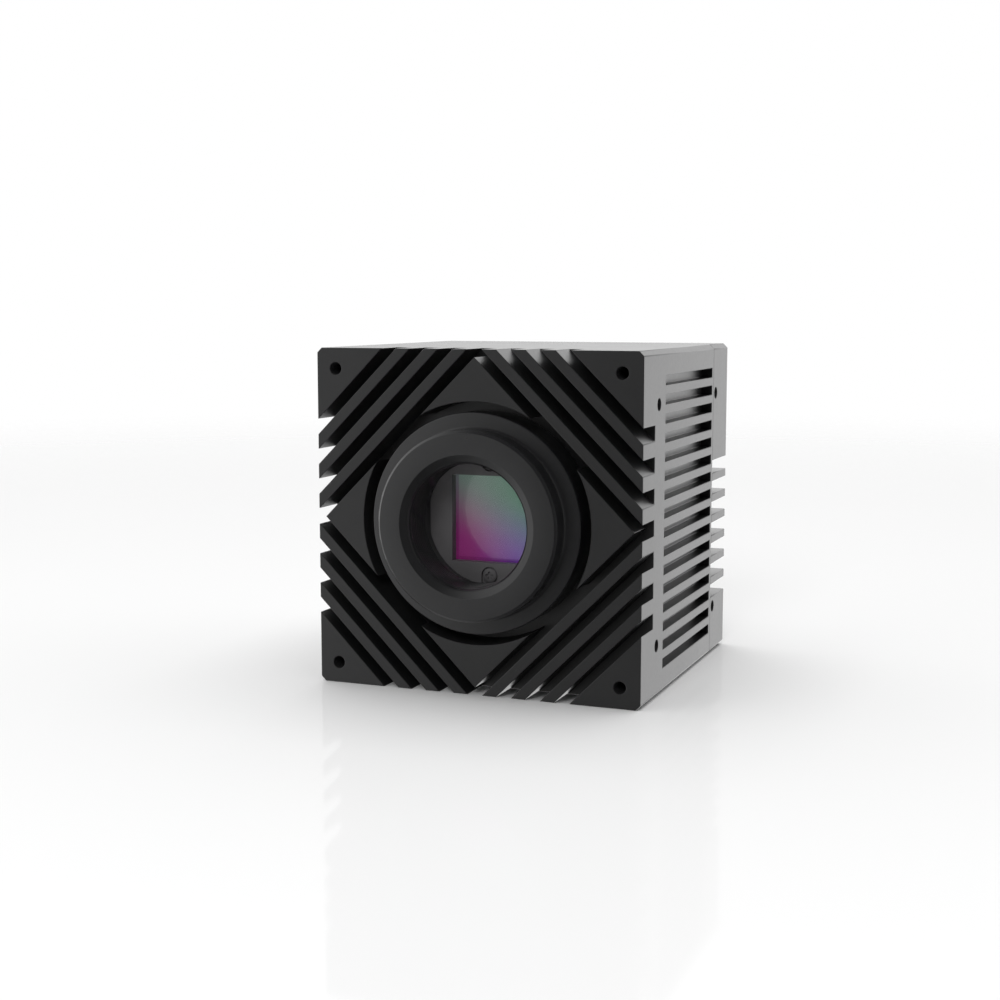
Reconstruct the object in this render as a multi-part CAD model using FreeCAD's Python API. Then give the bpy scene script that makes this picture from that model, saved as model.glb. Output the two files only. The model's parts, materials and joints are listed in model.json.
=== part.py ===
import FreeCAD, Part
import math
import os

# Cooled camera in a 70 mm black aluminium cube, in millimetres.
# +X right, +Y towards the back, +Z up; the lens faces -Y.
# The origin is the centre of the bounding box's base.
# A "depth" is a distance behind the front face, so the collar has negative depths.

# ---- driving dimensions ----
cube = 70.0                 # width and height of the body
body_depth = 67.0           # front face to rear face
collar_length = 4.8         # lens collar in front of the front face
edge_chamfer = 1.0          # long edges of the body
seam_depth = 54.4           # joint between main housing and rear heat sink

groove_width = 2.2          # diagonal front grooves
groove_pitch = 4.4
groove_depth = 8.0
groove_start = 23.65        # from the axis to the first groove, square to it
groove_count = 4            # in each corner

ring_flange_radius = 22.5   # lens mount ring
collar_radius = 19.2
ring_pocket_radius = 24.6
thread_radius = 12.7   # 1 inch by 32 lens thread, at its nominal radius
thread_length = 8.6
bore_mouth_radius = 13.0
bore_mouth_chamfer = (1.4, 0.5)   # across and along the axis
throat_radius = 13.6        # round opening with four flats behind the thread
throat_flat = 13.2
throat_depth = 5.5
flange_distance = 17.526    # collar face to sensor, in air
glass_shift = 0.5           # what two thin windows add to it

slot_count = 16             # cooling slots in each side
slot_pitch = 3.84
slot_height = 2.0
slot_recess = 2.4
slot_front = 15.45
slot_rear = 53.1

fin_count = 6               # rear heat sink
fin_thickness = 1.8
fin_gap = 2.9
fins_bottom = 13.1
spigot_front = 50.4

m3_tap_radius = 1.25
front_hole_inset = 4.25
side_hole_middle = 33.65
right_hole_spacing = (45.7, 48.4)   # along the depth and the height
left_hole_spacing = (47.0, 48.0)
side_hole_depth = 5.0

cavity_front = 14.0
cavity_half_width = 28.5
cavity_bottom = 5.0
cavity_top = 65.0
cavity_corner = 3.0

window_frame_back = 10.1
window_size = 21.4
window_thickness = 1.0
gasket_thickness = 0.4
board_thickness = 1.6
sensor_size = 19.0
package_size = 27.0
cooler_size = 30.0
cooler_front = 21.0
plate_thickness = 0.8
pellet_height = 2.0
stack_half_width = 20.0

fan_size = 30.0
fan_thickness = 8.0
fan_front = 56.2
fan_hole_pitch = 24.0
blade_count = 7

# ---- worked out ----
half = cube / 2
axis_z = cube / 2
front_y = -(body_depth - collar_length) / 2
fins_top = fins_bottom + fin_count * fin_thickness + (fin_count + 1) * fin_gap
fan_z = (fins_bottom + fins_top) / 2
sensor_depth = flange_distance - collar_length + glass_shift
glass_back = window_frame_back + window_thickness
shoulder = glass_back + gasket_thickness
hot_plate_front = cooler_front + plate_thickness + pellet_height
hot_block_front = hot_plate_front + plate_thickness
past = 1.0                  # how far a cutting tool runs past a face

along_y = FreeCAD.Vector(0, 1, 0)


# ---- shapes ----
def box(x, depth, z):
    """A block between the two values given for each direction."""
    corner = FreeCAD.Vector(x[0], front_y + depth[0], z[0])
    return Part.makeBox(x[1] - x[0], depth[1] - depth[0], z[1] - z[0], corner)


def plate(half_x, depth, half_z, z=axis_z, x=0.0):
    """A block centred on x and z."""
    return box((x - half_x, x + half_x), depth, (z - half_z, z + half_z))


def rod(radius, depth, x=0.0, z=axis_z):
    """A cylinder along the depth."""
    start = FreeCAD.Vector(x, front_y + depth[0], z)
    return Part.makeCylinder(radius, depth[1] - depth[0], start, along_y)


def ring(outer, inner, depth, x=0.0, z=axis_z):
    """A tube along the depth."""
    return rod(outer, depth, x, z).cut(rod(inner, (depth[0] - past, depth[1] + past), x, z))


def upright(radius, x, depth, z):
    """A vertical cylinder between two heights."""
    start = FreeCAD.Vector(x, front_y + depth, z[0])
    return Part.makeCylinder(radius, z[1] - z[0], start)


def across(radius, x, depth, z):
    """A cylinder along X between two values."""
    start = FreeCAD.Vector(x[0], front_y + depth, z)
    return Part.makeCylinder(radius, x[1] - x[0], start, FreeCAD.Vector(1, 0, 0))


def turned(profile, x=0.0, z=axis_z):
    """A solid of revolution from (radius, depth) corners."""
    points = [FreeCAD.Vector(x + radius, front_y + depth, z) for radius, depth in profile]
    face = Part.Face(Part.makePolygon(points + points[:1]))
    return face.revolve(FreeCAD.Vector(x, 0, z), along_y, 360)


def depth_edges(shape):
    """The edges that run straight along the depth."""
    found = []
    for edge in shape.Edges:
        tangent = edge.tangentAt(edge.FirstParameter)
        if abs(tangent.y) > 0.999:
            found.append(edge)
    return found


def rounded(shape, radius):
    return shape.makeFillet(radius, depth_edges(shape))


def corners(half_x, half_z, z=axis_z):
    return [(sx * half_x, z + sz * half_z) for sx in (-1, 1) for sz in (-1, 1)]


def group(shapes):
    return Part.makeCompound(list(shapes))


def cut_all(shape, tools):
    return shape.cut(list(tools))


def screw(x, z, head_depth, length, shank, head, head_height, forward=1):
    """A pan-head screw; forward is +1 when its tip points to the back."""
    tip = head_depth + forward * length
    top = head_depth - forward * head_height
    shaft = rod(shank, sorted((head_depth, tip)), x, z)
    cap = rod(head, sorted((head_depth, top)), x, z)
    rim = [edge for edge in cap.Edges if abs(edge.CenterOfMass.y - front_y - top) < 0.01]
    cap = cap.makeFillet(head_height * 0.4, rim)
    recess = rod(head * 0.5, sorted((top - forward * past, top + forward * head_height * 0.45)), x, z)
    return cap.cut(recess).fuse(shaft).removeSplitter()


# ---- housing ----
def body_block(depth):
    """Square block over a depth range, with the long edges chamfered."""
    block = box((-half, half), depth, (0, cube))
    return block.makeChamfer(edge_chamfer, depth_edges(block))


def diagonal_grooves():
    """Straight grooves at 45 degrees, four in each corner of the front face."""
    tools = []
    reach = 2 * cube
    for turn in range(4):
        for index in range(groove_count):
            start = groove_start + index * groove_pitch
            slab = Part.makeBox(groove_width, groove_depth + past, reach,
                                FreeCAD.Vector(start, front_y - past, -reach / 2))
            slab.rotate(FreeCAD.Vector(0, 0, 0), along_y, 45 + 90 * turn)
            slab.translate(FreeCAD.Vector(0, 0, axis_z))
            tools.append(slab)
    return tools


def side_slots():
    tools = []
    for index in range(slot_count):
        z = axis_z + (index - (slot_count - 1) / 2) * slot_pitch
        for side in (-1, 1):
            x = side * (half - slot_recess / 2 + past / 2)
            tools.append(plate((slot_recess + past) / 2, (slot_front, slot_rear), slot_height / 2, z, x))
    return tools


def side_holes(row):
    """Tapped M3 holes in both sides, high and low, in the front row (-1) or the rear row (1)."""
    tools = []
    for end in (-1, 1):
        right = (side_hole_middle + row * right_hole_spacing[0] / 2, axis_z + end * right_hole_spacing[1] / 2)
        left = (side_hole_middle + row * left_hole_spacing[0] / 2, axis_z + end * left_hole_spacing[1] / 2)
        tools.append(across(m3_tap_radius, (half - side_hole_depth, half + past), *right))
        tools.append(across(m3_tap_radius, (-half - past, -half + side_hole_depth), *left))
    return tools


def cavity(depth, shrink=0.0):
    room = box((-cavity_half_width + shrink, cavity_half_width - shrink), depth,
               (cavity_bottom + shrink, cavity_top - shrink))
    return rounded(room, cavity_corner - shrink)


def seal_path(depth, middle, width):
    """Rectangular loop around the cavity mouth."""
    outer = cavity(depth, -middle - width / 2)
    inner = cavity((depth[0] - past, depth[1] + past), -middle + width / 2)
    return outer.cut(inner)


corner_places = corners(half - front_hole_inset, half - front_hole_inset)
case_screw_radius = 1.5   # M3
case_screw_socket = 1.45   # round stand-in for a 2.5 mm hexagon
ring_screw_radius = 20.2
ring_screw_places = [(ring_screw_radius, axis_z), (-ring_screw_radius, axis_z),
                     (0.0, axis_z + ring_screw_radius), (0.0, axis_z - ring_screw_radius)]
window_frame_radius = 17.8
frame_screw_height = 11.7   # above and below the axis
frame_screw_places = [(0.0, axis_z - frame_screw_height), (0.0, axis_z + frame_screw_height)]
sensor_board_places = corners(20.0, 20.0)
board_place_x = 22.0
board_places = [(x, depth) for x in (-board_place_x, board_place_x) for depth in (21.5, 45.5)]
seal_middle = 1.2
seal_width = 1.0


def main_housing():
    body = body_block((0, seam_depth))
    tools = diagonal_grooves() + side_slots() + side_holes(-1)
    tools.append(rod(ring_pocket_radius, (-past, groove_depth)))
    tools.append(rod(window_frame_radius + 0.2, (groove_depth - past, window_frame_back)))
    tools.append(plate(window_size / 2 + 0.1, (window_frame_back - past, shoulder), window_size / 2 + 0.1))
    tools.append(plate(9.8, (shoulder - past, cavity_front + past), 9.8))
    tools.append(plate(package_size / 2 + 0.4, (shoulder + 0.7, cavity_front + past), package_size / 2 + 0.4))
    tools.append(cavity((cavity_front, seam_depth + past)))
    for x, z in corner_places:
        tools.append(rod(m3_tap_radius, (-past, 7.0), x, z))
        tools.append(rod(case_screw_radius + 0.05, (seam_depth - 10.0, seam_depth + past), x, z))
    for x, z in ring_screw_places:
        tools.append(rod(1.1, (groove_depth - past, cavity_front + past), x, z))
    for x, z in frame_screw_places:
        tools.append(rod(0.8, (window_frame_back - past, 12.0), x, z))
    tools.append(seal_path((seam_depth - seal_width, seam_depth + past), seal_middle, seal_width))
    body = cut_all(body, tools)
    bosses = []
    for x, z in sensor_board_places:
        bosses.append(ring(2.4, 1.05, (cavity_front, 15.0), x, z))
    body = body.fuse(bosses)
    return cut_all(body, [rod(1.05, (cavity_front - 3.0, 15.0), x, z) for x, z in sensor_board_places])


def lens_mount_ring():
    """Flange and collar in one turned piece, threaded inside."""
    chamfer_width, chamfer_depth = bore_mouth_chamfer
    mouth = -collar_length + chamfer_depth
    collar_edge = 0.3
    base_fillet = 0.6
    profile = [
        (thread_radius, mouth + bore_mouth_radius - thread_radius),
        (bore_mouth_radius, mouth),
        (bore_mouth_radius + chamfer_width, -collar_length),
        (collar_radius - collar_edge, -collar_length),
        (collar_radius, -collar_length + collar_edge),
        (collar_radius, -base_fillet),
        (collar_radius + base_fillet, 0.0),
        (ring_flange_radius - 0.2, 0.0),
        (ring_flange_radius, 0.2),
        (ring_flange_radius, groove_depth),
        (thread_radius + 0.4, groove_depth),
        (thread_radius + 0.4, mouth + thread_length + 0.4),
        (thread_radius, mouth + thread_length),
    ]
    body = turned(profile)
    throat = rod(throat_radius, (throat_depth, groove_depth + past))
    throat = throat.common(plate(throat_flat, (throat_depth, groove_depth + past), throat_flat))
    holes = [rod(0.85, (3.0, groove_depth + past), x, z) for x, z in ring_screw_places]
    return cut_all(body, [throat] + holes)


def mount_ring_screws():
    return group(screw(x, z, cavity_front, 10.0, 0.8, 1.9, 0.9, -1) for x, z in ring_screw_places)


# ---- window and sensor ----
def window_frame():
    """Round retaining plate with the light opening and two seats for its screws."""
    frame = rod(window_frame_radius, (groove_depth, window_frame_back))
    tools = [plate(8.3, (groove_depth - past, window_frame_back + past), 9.0)]
    for side in (-1, 1):
        z = axis_z + side * frame_screw_height
        outer = z + side * 2.8
        tools.append(rod(1.75, (groove_depth - past, groove_depth + 0.7), 0, z))
        tools.append(box((-1.75, 1.75), (groove_depth - past, groove_depth + 0.7), sorted((z, outer))))
        tools.append(rod(0.9, (groove_depth - past, window_frame_back + past), 0, z))
    return cut_all(frame, tools)


def window_frame_screws():
    head = groove_depth + 0.7
    return group(screw(x, z, head, 3.2, 0.75, 1.55, 0.9) for x, z in frame_screw_places)


def window_glass():
    return plate(window_size / 2, (window_frame_back, glass_back), window_size / 2)


def window_gasket():
    frame = plate(window_size / 2, (glass_back, shoulder), window_size / 2)
    return frame.cut(plate(9.8, (glass_back - past, shoulder + past), 9.8))


def sensor_package():
    """Ceramic tray with a stepped well for the sensor."""
    tray = plate(package_size / 2, (sensor_depth - 0.38, 15.0), package_size / 2)
    return tray.cut(plate(10.3, (sensor_depth - past, sensor_depth + 0.4), 10.3))


def sensor_die():
    return plate(sensor_size / 2, (sensor_depth, sensor_depth + 0.4), sensor_size / 2)


def sensor_cover_glass():
    return plate(12.0, (sensor_depth - 0.88, sensor_depth - 0.38), 12.0)


def sensor_board():
    board = plate(23.0, (15.0, 15.0 + board_thickness), 23.0)
    tools = [plate(7.4, (14.0, 18.0), 7.4)]
    tools += [rod(1.1, (14.0, 18.0), x, z) for x, z in sensor_board_places]
    return cut_all(board, tools)


def sensor_board_screws():
    back = 15.0 + board_thickness
    return group(screw(x, z, back, 4.2, 1.0, 1.9, 1.1, -1) for x, z in sensor_board_places)


# ---- cooler stack ----
clamp_places = corners(17.5, 12.0)
block_screw_places = [(-17.5, axis_z), (17.5, axis_z)]


def cold_finger():
    """Block through the sensor board with a wide foot on the cooler."""
    foot_front = cooler_front - 1.5
    body = plate(7.0, (15.0, foot_front), 7.0)
    body = body.fuse(plate(stack_half_width, (foot_front, cooler_front), cooler_size / 2))
    tools = [rod(1.35, (foot_front - past, cooler_front + past), x, z) for x, z in clamp_places]
    tools += [rod(2.9, (foot_front - past, cooler_front + past), x, z) for x, z in block_screw_places]
    return cut_all(body, tools).removeSplitter()


def cooler_plate(front):
    return plate(cooler_size / 2, (front, front + plate_thickness), cooler_size / 2)


def cooler_pellets():
    """Grid of small semiconductor blocks between the two ceramic plates."""
    front = cooler_front + plate_thickness
    places = [(index - 3.5) * 3.6 for index in range(8)]
    return group(plate(0.75, (front, front + pellet_height), 0.75, axis_z + z, x)
                 for x in places for z in places)


def hot_side_block():
    body = plate(stack_half_width, (hot_block_front, spigot_front - 0.4), cooler_size / 2)
    tools = [rod(1.05, (hot_block_front - past, 34.0), x, z) for x, z in clamp_places]
    tools += [rod(1.35, (hot_block_front - past, spigot_front), x, z) for x, z in block_screw_places]
    return cut_all(body, tools)


def thermal_pad():
    pad = plate(stack_half_width, (spigot_front - 0.4, spigot_front), cooler_size / 2)
    return cut_all(pad, [rod(1.35, (spigot_front - past, spigot_front + past), x, z)
                         for x, z in block_screw_places])


washer_thickness = 0.8


def insulating_washers():
    front = cooler_front - 1.5 - washer_thickness
    return group(ring(2.3, 1.15, (front, front + washer_thickness), x, z) for x, z in clamp_places)


def clamp_screws():
    head = cooler_front - 1.5 - washer_thickness
    return group(screw(x, z, head, 14.0, 1.0, 1.9, 1.2) for x, z in clamp_places)


def block_screws():
    return group(screw(x, z, hot_block_front, 27.5, 1.25, 2.3, 1.8) for x, z in block_screw_places)


def temperature_probe():
    """Small bead on the foot of the cold finger."""
    front = cooler_front - 1.5 - 1.2
    return plate(1.0, (front, cooler_front - 1.5), 0.6, axis_z + 11.0, 0)


# ---- boards ----
main_board_z = 55.2
power_board_z = 11.2
board_front = 18.0
board_back = 49.0
interface_front = 50.6
interface_back = interface_front + board_thickness
port_z = 55.3


def flat_board(z):
    board = box((-26, 26), (board_front, board_back), (z, z + board_thickness))
    return cut_all(board, [upright(1.1, x, depth, (z - past, z + 3)) for x, depth in board_places])


def main_board():
    return flat_board(main_board_z)


def power_board():
    return flat_board(power_board_z)


def standoffs(low, high, hole_low, hole_high):
    posts = []
    for x, depth in board_places:
        post = upright(2.5, x, depth, (low, high))
        posts.append(post.cut(upright(1.05, x, depth, (hole_low, hole_high))))
    return group(posts)


def main_board_standoffs():
    low = main_board_z + board_thickness
    return standoffs(low, cavity_top, low - past, low + 5.0)


def power_board_standoffs():
    return standoffs(cavity_bottom, power_board_z, power_board_z - 5.0, power_board_z + past)


def board_screws():
    """Pan heads below the main board and above the power board."""
    screws = []
    above = power_board_z + board_thickness
    for x, depth in board_places:
        screws.append(upright(1.9, x, depth, (main_board_z - 1.2, main_board_z))
                      .fuse(upright(1.0, x, depth, (main_board_z, main_board_z + 5.5))))
        screws.append(upright(1.9, x, depth, (above, above + 1.2))
                      .fuse(upright(1.0, x, depth, (above - 5.5, above))))
    return group(item.removeSplitter() for item in screws)


def main_board_chips():
    top = main_board_z + board_thickness
    chips = [box((-9, 9), (24, 42), (top, top + 2.2))]
    for x in (-20, 14):
        chips.append(box((x - 2.5, x + 5.5), (28, 39), (top, top + 1.1)))
    return group(chips)


def power_board_parts():
    """Two coils and four capacitors for the cooler's supply."""
    top = power_board_z + board_thickness
    parts = [box((x - 3.5, x + 3.5), (30, 37), (top, top + 4.0)) for x in (-9, 9)]
    for x in (-17, 17):
        for depth in (28, 38):
            parts.append(upright(2.0, x, depth, (top, top + 5.4)))
    return group(parts)


def board_connectors():
    """Blocks that join the sensor board and the interface board to the main board."""
    top = main_board_z + board_thickness
    front = box((-10, 10), (15.0 + board_thickness, 21.5), (main_board_z - 4.0, main_board_z))
    back = box((-18, 2), (44.0, interface_front), (top, top + 4.0))
    return group([front, back])


def interface_board():
    board = plate(25.5, (interface_front, interface_back), 8.1, port_z)
    return cut_all(board, [rod(1.1, (49, 53), x, port_z) for x in (-24.0, 24.0)])


def interface_board_screws():
    return group(screw(x, port_z, interface_front, 5.0, 1.0, 1.5, 1.0) for x in (-24.0, 24.0))


# ---- ports ----
usb_x = -14.0
trigger_x = 2.0
jack_x = 15.5
light_x = 8.9
light_z = 60.3
panel_front = body_depth - 1.5


def usb_port_shell():
    shell = plate(6.0, (interface_back, body_depth), 5.3, port_z, usb_x)
    return shell.cut(plate(5.5, (interface_back + 1.0, body_depth + past), 4.8, port_z, usb_x))


def usb_port_insert():
    """Tongue of the square data socket on its back block."""
    back = plate(5.4, (interface_back + 1.0, interface_back + 3.0), 4.7, port_z, usb_x)
    tongue = plate(2.8, (interface_back + 3.0, body_depth - 2.0), 1.6, port_z - 1.8, usb_x)
    return back.fuse(tongue).removeSplitter()


def trigger_port_shell():
    body = rod(5.4, (interface_back, panel_front), trigger_x, port_z)
    body = body.fuse(rod(4.6, (panel_front, body_depth), trigger_x, port_z))
    return body.cut(rod(3.8, (interface_back + 1.0, body_depth + past), trigger_x, port_z))


def trigger_port_insert():
    """Round plug of insulation with five pins."""
    core_back = interface_back + 6.0
    core = rod(3.75, (interface_back + 1.0, core_back), trigger_x, port_z)
    pins = []
    for index in range(5):
        angle = math.radians(54 + 63 * index)
        x = trigger_x + 2.3 * math.cos(angle)
        z = port_z + 2.3 * math.sin(angle)
        pins.append(rod(0.4, (core_back, body_depth - 3.0), x, z))
    return core.fuse(pins).removeSplitter()


def power_jack_body():
    body = plate(4.6, (interface_back, panel_front), 4.6, port_z, jack_x)
    body = body.fuse(rod(4.2, (panel_front, body_depth), jack_x, port_z))
    return body.cut(rod(3.1, (interface_back + 2.0, body_depth + past), jack_x, port_z))


def power_jack_pin():
    base = rod(3.05, (interface_back + 2.0, interface_back + 3.0), jack_x, port_z)
    pin = rod(1.05, (interface_back + 3.0, body_depth - 2.0), jack_x, port_z)
    return base.fuse(pin).removeSplitter()


def status_light():
    return rod(1.1, (interface_back, body_depth), light_x, light_z)


def rear_panel():
    panel = plate(27.4, (panel_front, body_depth), 8.5, port_z)
    reach = (panel_front - past, body_depth + past)
    tools = [plate(6.05, reach, 5.35, port_z, usb_x)]
    tools.append(rod(4.65, reach, trigger_x, port_z))
    tools.append(rod(4.25, reach, jack_x, port_z))
    tools.append(rod(1.15, reach, light_x, light_z))
    for x in (-25.0, 25.0):
        tools.append(rod(1.1, reach, x, port_z))
        tools.append(rod(2.0, (body_depth - 0.9, body_depth + past), x, port_z))
    return cut_all(panel, tools)


def rear_panel_screws():
    return group(screw(x, port_z, body_depth - 0.9, 5.0, 1.0, 1.9, 0.8, -1) for x in (-25.0, 25.0))


# ---- rear heat sink ----
fan_places = corners(fan_hole_pitch / 2, fan_hole_pitch / 2, fan_z)


def rear_heat_sink():
    """Finned block with a spigot into the housing, a fan pocket and the port bay."""
    body = body_block((seam_depth, body_depth)).fuse(cavity((spigot_front, seam_depth), 0.15))
    tools = side_holes(1)
    for index in range(fin_count + 1):
        low = fins_bottom + index * (fin_gap + fin_thickness)
        tools.append(box((-half - past, half + past), (seam_depth, body_depth + past), (low, low + fin_gap)))
    tools.append(box((-fan_size / 2 - 0.4, fan_size / 2 + 0.4), (fan_front, body_depth + past),
                     (fins_bottom, fins_top)))
    tools.append(plate(22.5, (spigot_front - past, body_depth + past), 7.3, port_z))
    tools.append(plate(25.7, (spigot_front - past, interface_back), 8.3, port_z))
    tools.append(plate(27.5, (panel_front, body_depth + past), 8.6, port_z))
    for x in (-24.0, 24.0):
        tools.append(rod(1.05, (interface_back - past, 56.0), x, port_z))
    for x in (-25.0, 25.0):
        tools.append(rod(1.05, (60.0, body_depth), x, port_z))
    for x, z in corner_places:
        tools.append(rod(case_screw_radius + 0.2, (seam_depth - past, body_depth + past), x, z))
        tools.append(rod(3.0, (body_depth - 3.4, body_depth + past), x, z))
    tools += [rod(1.3, (spigot_front - past, 53.0), x, z) for x, z in block_screw_places]
    body = cut_all(body, tools)
    body = body.fuse([rod(2.4, (seam_depth, fan_front), x, z) for x, z in fan_places])
    return cut_all(body, [rod(1.05, (51.5, fan_front + past), x, z) for x, z in fan_places])


def rear_seal():
    return seal_path((seam_depth - seal_width, seam_depth), seal_middle, seal_width - 0.1)


def case_screws():
    """Socket-head screws from the back into the main housing's corners."""
    head = body_depth - 3.4
    screws = []
    for x, z in corner_places:
        cap = rod(2.75, (head, head + 3.0), x, z).cut(rod(case_screw_socket, (head + 1.2, head + 3.0 + past), x, z))
        screws.append(cap.fuse(rod(case_screw_radius, (seam_depth - 9.0, head), x, z)).removeSplitter())
    return group(screws)


# ---- fan ----
fan_back = fan_front + fan_thickness
fan_bore = 14.2
blade_radius = 13.6
hub_radius = 7.8
hub_inner = 7.2
shaft_radius = 1.0
bearing_radius = 1.9
tube_radius = 2.6


def fan_rod(radius, depth):
    return rod(radius, depth, 0, fan_z)


def fan_ring(outer, inner, depth):
    return ring(outer, inner, depth, 0, fan_z)


def fan_frame():
    """Square frame with a round bore, four struts and the bearing tube."""
    frame = rounded(plate(fan_size / 2, (fan_front, fan_back), fan_size / 2, fan_z), 2.5)
    frame = frame.cut(fan_rod(fan_bore, (fan_front - past, fan_back + past)))
    floor = fan_front + 1.0
    struts = []
    for turn in range(4):
        strut = plate(fan_bore + 0.5, (fan_front, floor), 0.7, fan_z)
        strut.rotate(FreeCAD.Vector(0, 0, fan_z), along_y, 22.5 + 45 * turn)
        struts.append(strut)
    middle = [fan_rod(7.6, (fan_front, floor)), fan_rod(tube_radius, (floor, 62.4))]
    frame = frame.fuse(struts + middle)
    tools = [fan_rod(bearing_radius, (floor + 0.1, 63.0))]
    tools += [rod(1.3, (fan_front - past, fan_back + past), x, z) for x, z in fan_places]
    return cut_all(frame, tools).removeSplitter()


def fan_rotor():
    """Cup-shaped hub with sloping blades around it."""
    hub = turned([(shaft_radius, 63.8), (shaft_radius, 63.0), (hub_inner, 63.0), (hub_inner, 58.2),
                  (hub_radius, 58.2), (hub_radius, 63.3), (hub_radius - 0.5, 63.8)], 0, fan_z)
    room = fan_ring(blade_radius, hub_radius - 0.3, (58.0, 63.6))
    blades = []
    for index in range(blade_count):
        blade = box((hub_radius - 1.0, blade_radius + 1.0), (56.0, 66.0), (-0.45, 0.45))
        blade.rotate(FreeCAD.Vector(0, front_y + 60.8, 0), FreeCAD.Vector(1, 0, 0), 48)
        blade.translate(FreeCAD.Vector(0, 0, fan_z))
        blade.rotate(FreeCAD.Vector(0, 0, fan_z), along_y, 360 * index / blade_count)
        blades.append(blade.common(room))
    return hub.fuse(blades).removeSplitter()


def fan_shaft():
    return fan_rod(shaft_radius, (57.6, 63.8))


def fan_magnet():
    return fan_ring(hub_inner - 0.02, 6.4, (58.6, 62.98))


def fan_bearings():
    inner = shaft_radius + 0.04
    return group(fan_ring(bearing_radius - 0.02, inner, depth) for depth in ((57.5, 59.1), (60.8, 62.4)))


def fan_stator():
    """Four-pole core on the bearing tube."""
    core = fan_ring(5.9, tube_radius + 0.02, (58.8, 62.2))
    tools = []
    for turn in range(4):
        slot = box((3.6, 5.0), (58.0, 63.0), (fan_z - 2.4, fan_z + 2.4))
        mouth = box((4.9, 6.5), (58.0, 63.0), (fan_z - 0.5, fan_z + 0.5))
        for tool in (slot, mouth):
            tool.rotate(FreeCAD.Vector(0, 0, fan_z), along_y, 90 * turn)
            tools.append(tool)
    return cut_all(core, tools)


def fan_circuit_board():
    return fan_ring(6.2, tube_radius + 0.05, (57.3, 57.9))


guard_thickness = 0.8


def fan_guard():
    """Stamped guard: rings on two diagonal arms with four screw eyes."""
    depth = (fan_back, fan_back + guard_thickness)
    parts = [fan_ring(radius + 0.4, radius - 0.4, depth) for radius in (4.4, 7.6, 10.8, 14.0)]
    for angle in (45, -45):
        arm = plate(fan_hole_pitch / math.sqrt(2), depth, 0.45, fan_z)
        arm.rotate(FreeCAD.Vector(0, 0, fan_z), along_y, angle)
        parts.append(arm)
    parts += [rod(2.6, depth, x, z) for x, z in fan_places]
    guard = parts[0].fuse(parts[1:])
    return cut_all(guard, [rod(1.3, (fan_back - past, fan_back + 2), x, z) for x, z in fan_places])


def fan_screws():
    head = fan_back + guard_thickness
    return group(screw(x, z, head, 12.0, 1.0, 1.9, 1.3, -1) for x, z in fan_places)


parts = {
    "main_housing": main_housing,
    "lens_mount_ring": lens_mount_ring,
    "mount_ring_screws": mount_ring_screws,
    "window_frame": window_frame,
    "window_frame_screws": window_frame_screws,
    "window_glass": window_glass,
    "window_gasket": window_gasket,
    "sensor_package": sensor_package,
    "sensor_die": sensor_die,
    "sensor_cover_glass": sensor_cover_glass,
    "sensor_board": sensor_board,
    "sensor_board_screws": sensor_board_screws,
    "cold_finger": cold_finger,
    "temperature_probe": temperature_probe,
    "cooler_cold_plate": lambda: cooler_plate(cooler_front),
    "cooler_pellets": cooler_pellets,
    "cooler_hot_plate": lambda: cooler_plate(hot_plate_front),
    "hot_side_block": hot_side_block,
    "thermal_pad": thermal_pad,
    "insulating_washers": insulating_washers,
    "clamp_screws": clamp_screws,
    "block_screws": block_screws,
    "main_board": main_board,
    "main_board_chips": main_board_chips,
    "main_board_standoffs": main_board_standoffs,
    "power_board": power_board,
    "power_board_parts": power_board_parts,
    "power_board_standoffs": power_board_standoffs,
    "board_screws": board_screws,
    "board_connectors": board_connectors,
    "interface_board": interface_board,
    "interface_board_screws": interface_board_screws,
    "usb_port_shell": usb_port_shell,
    "usb_port_insert": usb_port_insert,
    "trigger_port_shell": trigger_port_shell,
    "trigger_port_insert": trigger_port_insert,
    "power_jack_body": power_jack_body,
    "power_jack_pin": power_jack_pin,
    "status_light": status_light,
    "rear_panel": rear_panel,
    "rear_panel_screws": rear_panel_screws,
    "rear_heat_sink": rear_heat_sink,
    "rear_seal": rear_seal,
    "case_screws": case_screws,
    "fan_frame": fan_frame,
    "fan_rotor": fan_rotor,
    "fan_shaft": fan_shaft,
    "fan_magnet": fan_magnet,
    "fan_bearings": fan_bearings,
    "fan_stator": fan_stator,
    "fan_circuit_board": fan_circuit_board,
    "fan_guard": fan_guard,
    "fan_screws": fan_screws,
}

os.makedirs("parts", exist_ok=True)
for name, make in parts.items():
    shape = make()
    solids = shape.Solids
    sound = shape.isValid() and all(solid.isClosed() for solid in solids)
    print(name, len(solids), "solids", round(shape.Volume, 1), "mm3", "valid" if sound else "NOT VALID")
    shape.exportStep("parts/" + name + ".step")
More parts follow.
